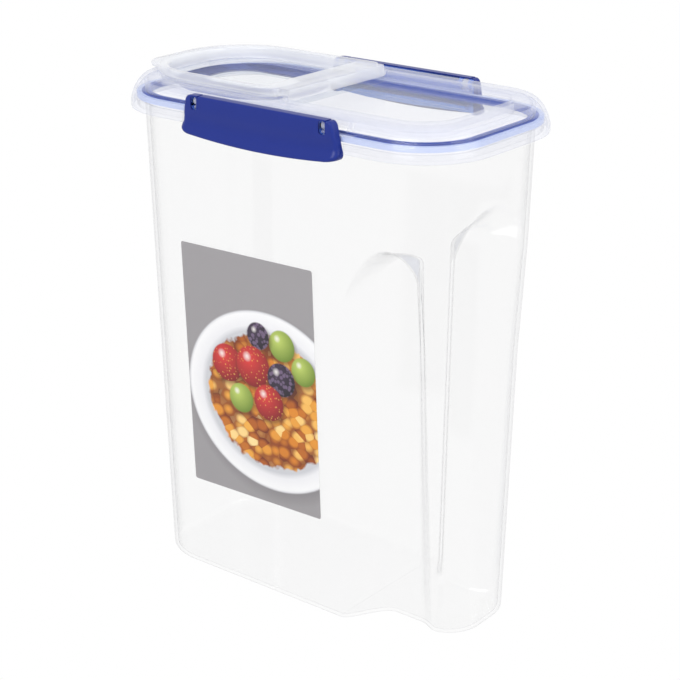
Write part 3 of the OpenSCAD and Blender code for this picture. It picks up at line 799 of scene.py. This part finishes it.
def plastic_solid(name, color, rough, painted_inner_light=None):
    """Coloured plastic; an optional pair of lighter blues is painted light on a clip's shaded inside,
    blending to the second, lighter one further down at the foot.
    """
    m = material(name)
    shade = m.blend(m.noise(60), tuple(c * 0.93 for c in color[:3]) + (1,), color)
    if painted_inner_light:
        # Painted light: the clip's shaded inside, under its roof and within its ends, is coloured lighter
        # blue, lightest at the foot where it lies deepest in shade
        x, y, z = m.axes()
        half_depth, roof = clip_o - 1.0, clip_top - 0.7
        face = m.fade(z, (clip_low + 1.5) * MM, (clip_low + 5.5) * MM,
                      (half_depth + lip) * MM, half_depth * MM)
        inward = m.math("LESS_THAN", m.math("ABSOLUTE", y), face)
        under = m.math("LESS_THAN", z, roof * MM)
        along = m.math("ABSOLUTE", m.math("SUBTRACT", x, clip_x * MM))
        within = m.math("LESS_THAN", along, (clip_half - 3) * MM)
        painted_lift_at_foot = m.fade(z, (clip_low + 5) * MM, (clip_low + 10) * MM, 1.0, 0.0)
        inside = m.math("MULTIPLY", m.math("MULTIPLY", inward, under), within)
        shade = m.blend(inside, shade, m.blend(painted_lift_at_foot, *painted_inner_light))
    return m.surface(m.node("ShaderNodeBsdfPrincipled", {
        "Base Color": shade, "Roughness": rough, "Specular IOR Level": 0.25,
        "Normal": m.bump(m.noise(400, 4.0))}))


def seal_plastic(name, painted_pale_outer, inner, turn):
    """Soft blue ring, painted pale outside the turn: painted light that stands in for the light scattered by
    the lid's milky skirt in front of it; turn is the inset where it changes.
    """
    m = material(name)
    x, y, z = m.axes()
    past_x = m.math("MAXIMUM", m.math("SUBTRACT", m.math("ABSOLUTE", x), (skirt_l - skirt_r) * MM))
    past_y = m.math("MAXIMUM", m.math("SUBTRACT", m.math("ABSOLUTE", y), (skirt_w - skirt_r) * MM))
    reach = m.math("SQRT", m.math("ADD", m.math("MULTIPLY", past_x, past_x),
                                  m.math("MULTIPLY", past_y, past_y)))
    # Painted light: outside the turn, under the skirt, the ring takes the pale colour
    zone = m.fade(reach, (skirt_r - turn - 0.3) * MM, (skirt_r - turn + 0.3) * MM)
    return m.surface(m.node("ShaderNodeBsdfPrincipled", {
        "Base Color": m.blend(zone, inner, painted_pale_outer), "Roughness": 0.5, "Specular IOR Level": 0.25,
        "Normal": m.bump(m.noise(300))}))


# Printed label, in mm from its centre: plate, then the fruits as x, z, radius, lit and deep colour, skin
plate_x, plate_z, plate_r, plate_squash = 12.0, -10.0, 56.0, 1.12
red, deep_red = srgb(226, 62, 58), srgb(122, 10, 20)
green, deep_green = srgb(196, 214, 108), srgb(104, 132, 40)
violet, deep_violet = srgb(66, 50, 74), srgb(18, 10, 22)
fruits = (
    (22, 24, 8.5, green, deep_green, "smooth"), (-16, 6, 10.5, red, deep_red, "seeds"),
    (36, 13, 7.8, green, deep_green, "smooth"), (6, 26, 7.4, violet, deep_violet, "bumps"),
    (2, 8, 11.4, red, deep_red, "seeds"), (21, 5, 9.2, violet, deep_violet, "bumps"),
    (12, -10, 10.0, red, deep_red, "seeds"), (-7, -12, 8.2, green, deep_green, "smooth"))
# Skin textures: cells per metre, size and colour of the dots
skins = {"seeds": (520, 0.2, srgb(240, 190, 90)),
         "bumps": (430, 0.45, tuple(min(1, c * 3 + 0.05) for c in violet[:3]) + (1,))}


def paper_label(name):
    """Printed label: a pale plate seen from above with golden flakes and round fruits on plain grey."""
    m = material(name)
    x, y, z = m.axes()
    across = m.math("MULTIPLY_ADD", x, 1000, -label_x)
    up = m.math("MULTIPLY_ADD", z, 1000, -label_z)

    def distance(cx, cz, squash=1.0):
        dx = m.math("SUBTRACT", across, cx)
        dz = m.math("MULTIPLY", m.math("SUBTRACT", up, cz), squash)
        return m.math("SQRT", m.math("ADD", m.math("MULTIPLY", dx, dx), m.math("MULTIPLY", dz, dz)))

    def inside(dist, radius, soft, share=None):
        disc = m.fade(dist, radius - soft, radius + soft, 1.0, 0.0)
        return disc if share is None else m.math("MULTIPLY", disc, share)

    def ramp(value, stops):
        node = m.node("ShaderNodeValToRGB", {0: value})
        while len(node.color_ramp.elements) < len(stops):
            node.color_ramp.elements.new(0.5)
        for element, (at, shade) in zip(node.color_ramp.elements, stops):
            element.position = at
            element.color = shade
        return node.outputs["Color"]

    def cells(scale, stretch=1.0):
        at = m.node("ShaderNodeCombineXYZ", {0: m.math("MULTIPLY", across, MM),
                                             1: m.math("MULTIPLY", up, MM * stretch)})
        return m.node("ShaderNodeTexVoronoi", {"Scale": scale, "Vector": at.outputs[0]}).outputs

    color = srgb(158, 155, 157)
    plate = distance(plate_x, plate_z, plate_squash)
    # Soft shadow of the plate, its rim and its well
    shadow = inside(distance(plate_x + 2, plate_z - 3, plate_squash), plate_r + 1, 4, 0.35)
    color = m.blend(shadow, color, srgb(96, 92, 94))
    rim = ramp(m.math("DIVIDE", plate, plate_r),
               [(0.0, srgb(236, 236, 238)), (0.78, srgb(205, 206, 210)), (0.84, srgb(240, 240, 242)),
                (0.97, srgb(250, 250, 250)), (1.0, srgb(215, 215, 219))])
    color = m.blend(inside(plate, plate_r, 0.5), color, rim)
    # Flakes: cells in many golds, dark in the gaps between them, with a ragged edge
    flakes = cells(150, 1.25)
    gold = ramp(m.node("ShaderNodeSeparateColor", {0: flakes["Color"]}).outputs[0],
                [(0.0, srgb(176, 92, 22)), (0.3, srgb(222, 138, 36)), (0.6, srgb(243, 178, 74)),
                 (0.85, srgb(250, 204, 116)), (1.0, srgb(255, 226, 160))])
    gap = ramp(flakes["Distance"], [(0.0, srgb(255, 255, 255)), (0.42, srgb(255, 250, 240)),
                                    (0.72, srgb(150, 84, 30)), (1.0, srgb(110, 56, 20))])
    ragged = m.math("ADD", plate, m.math("MULTIPLY", m.math("SUBTRACT", m.noise(170, 2.0), 0.5), 9))
    color = m.blend(inside(ragged, plate_r * 0.74, 0.8), color, m.blend(0.85, gold, gap, "MULTIPLY"))
    # Fruits: soft shadow, rounded shading, their own skin and a small highlight
    for cx, cz, r, lit, deep, kind in fruits:
        color = m.blend(inside(distance(cx + 0.8, cz - 1.6), r + 0.6, 1.6, 0.6), color, srgb(70, 34, 14))
        middle = tuple((a + b) / 2 for a, b in zip(lit, deep))
        skin = ramp(m.math("DIVIDE", distance(cx - 0.3 * r, cz + 0.35 * r), 1.45 * r),
                    [(0.0, lit), (0.45, middle), (1.0, deep)])
        if kind in skins:
            per_metre, size, dot = skins[kind]
            skin = m.blend(inside(cells(per_metre)["Distance"], size, 0.12, 0.7), skin, dot)
        color = m.blend(inside(distance(cx, cz), r, 0.35), color, skin)
        shine = inside(distance(cx - 0.36 * r, cz + 0.42 * r), 0.16 * r, 0.12 * r, 0.75)
        color = m.blend(shine, color, srgb(255, 250, 245))
    # The print is on the outer face alone; the back is bare paper
    outward = m.math("LESS_THAN", m.axes("Normal")["Y"], -0.5)
    return m.surface(m.node("ShaderNodeBsdfPrincipled", {
        "Base Color": m.blend(outward, srgb(232, 232, 230), color), "Roughness": 0.38,
        "Normal": m.bump(m.noise(900, 2.0), 0.04, 0.0001)}))


clear_wall = plastic_clear("clear_wall", tint=(0.988, 0.988, 0.988, 1), milk=(0.46, 0.46, 0.48, 1),
                           haze=0.003, edge=0.9, power=6.5, rough=0.05, gloss=0.6)
clear_lid = plastic_clear("clear_lid", tint=(0.985, 0.985, 0.992, 1), milk=(0.78, 0.81, 0.92, 1),
                          haze=0.008, edge=0.95, power=7, rough=0.08, gloss=0.2, layered=True,
                          band=(panel_z - lid_t - 0.3, panel_z + 0.3, 0.13), lugs=0.5)
frosted = plastic_clear("frosted_cap", tint=(0.94, 0.95, 0.965, 1), milk=(0.97, 0.975, 1.0, 1),
                        haze=0.015, edge=0.9, power=9, rough=0.15, gloss=0.25,
                        band=(cap_floor - 3, cap_floor + 2.4, 0.38))
# The clip's two lighter blues are painted light for its shaded inside
blue_clip = plastic_solid("blue_clip", srgb(26, 46, 134), 0.34, (srgb(76, 114, 206), srgb(102, 148, 234)))
blue_seal = plastic_solid("blue_seal", srgb(52, 78, 165), 0.5)
# The pale first colour is painted light, where the ring is seen through the lid's skirt
ring_seal = seal_plastic("ring_seal", srgb(192, 205, 240), srgb(48, 76, 165), 5.8)
label_film = paper_label("label_film")


# ---------------------------------------------------------------- pieces
def dress(ob, mat):
    ob.data.materials.clear()
    ob.data.materials.append(mat)


def place(ob, node, body, mat):
    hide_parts(node)
    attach(ob, body)
    dress(ob, mat)


place(container_mesh(), "container", "box", clear_wall)
place(lid_mesh(), "lid", "lid_body", clear_lid)
place(flap_mesh(), "flip_cap", "cap_body", frosted)
place(cap_seal_mesh(), "cap_seal", "cap_body", blue_seal)
rear = clip_mesh("rear_clip_moulding")
place(mirrored(rear, "front_clip_moulding"), "clip_front", "front_clip", blue_clip)
place(rear, "clip_rear", "rear_clip", blue_clip)
dress(bpy.data.objects["lid_seal"], ring_seal)
dress(bpy.data.objects["label"], label_film)


# ---------------------------------------------------------------- floor, world, lights
def white_to_view(graph, lit, white):
    """White for the view, straight or by way of the plastic; lit is what all other rays meet."""
    path = graph.node("ShaderNodeLightPath").outputs
    seen = graph.math("MAXIMUM", path["Is Camera Ray"], path["Is Transmission Ray"])
    seen = graph.math("MAXIMUM", seen, path["Is Glossy Ray"])
    return graph.surface(graph.shaders(seen, lit, white))


floor = material("floor")
white_to_view(floor, floor.node("ShaderNodeBsdfDiffuse", {"Color": (0.8, 0.8, 0.8, 1)}),
              floor.node("ShaderNodeEmission", {"Color": (1, 1, 1, 1)}))
floor_half, floor_z = 4, -0.0005
ground = new_object("floor", [(-floor_half, -floor_half, floor_z), (floor_half, -floor_half, floor_z),
                              (floor_half, floor_half, floor_z), (-floor_half, floor_half, floor_z)],
                    [(0, 1, 2, 3)])
dress(ground, floor.owner)

world = Graph(bpy.data.worlds.new("world"), "ShaderNodeOutputWorld")
scene.world = white_to_view(
    world, world.node("ShaderNodeBackground", {"Color": (0.9, 0.9, 0.92, 1), "Strength": 0.6}),
    world.node("ShaderNodeBackground", {"Color": (1, 1, 1, 1), "Strength": 1.0}))


def area(name, at, watts):
    light = bpy.data.lights.new(name, "AREA")
    light.size = 0.9
    light.energy = watts
    ob = bpy.data.objects.new(name, light)
    scene.collection.objects.link(ob)
    ob.location = at
    ob.rotation_euler = (Vector((0, 0, 0.15)) - Vector(at)).to_track_quat("-Z", "Y").to_euler()


area("key", (0.2, -1.3, 1.2), 14)
area("fill", (1.3, 0.3, 0.9), 8)

scene.view_settings.view_transform = "Standard"
